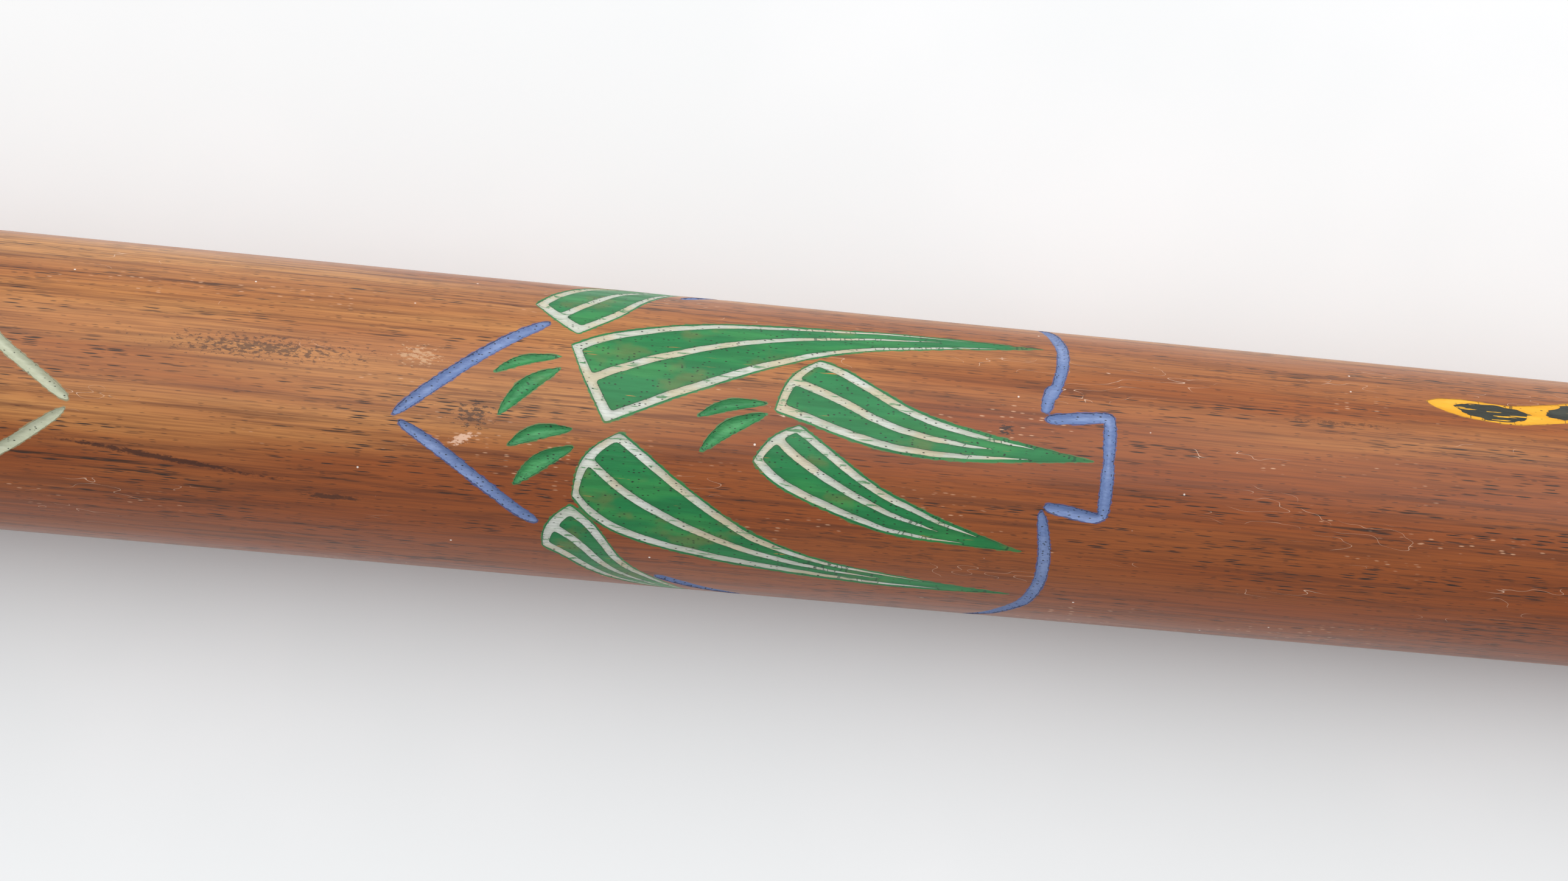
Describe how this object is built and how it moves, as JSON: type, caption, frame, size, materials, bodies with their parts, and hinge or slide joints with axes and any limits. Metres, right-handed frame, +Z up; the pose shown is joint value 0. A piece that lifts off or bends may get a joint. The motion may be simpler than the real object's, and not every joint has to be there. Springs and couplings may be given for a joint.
{
  "type": "didgeridoo",
  "caption": "Hardwood didgeridoo: a slightly flared tube of two glued half shells with a wax mouthpiece and carved, painted leaf and snake motifs.",
  "frame": {"origin": "on the bore's axis, in the plane of the wooden mouth end", "axes": "+X out of the mouth along the bore, +Z up through the painted face"},
  "size_m": [1.205, 0.056, 0.0559],
  "materials": {
    "hardwood": "varnished",
    "hardwood_lower": "varnished",
    "glue": "satin",
    "beeswax": "satin",
    "blue_paint": "satin",
    "green_paint": "satin",
    "cream_paint": "satin",
    "leaflet_paint": "satin",
    "pale_green_paint": "satin",
    "ochre_paint": "satin",
    "chevron_cream_paint": "satin",
    "chevron_leaflet_paint": "satin",
    "yellow_paint": "gloss",
    "black_paint": "gloss"
  },
  "bodies": {
    "root": {"upper_half": "hardwood", "lower_half": "hardwood_lower", "seam_glue": "glue", "mouth_wax": "beeswax", "shield_outline": "blue_paint", "shield_leaves": "green_paint", "shield_veins": "cream_paint", "shield_leaflets": "leaflet_paint", "chevron_outline": "pale_green_paint", "chevron_leaves": "ochre_paint", "chevron_veins": "chevron_cream_paint", "chevron_leaflets": "chevron_leaflet_paint", "snake_body": "yellow_paint", "snake_patches": "black_paint"}
  },
  "joints": []
}
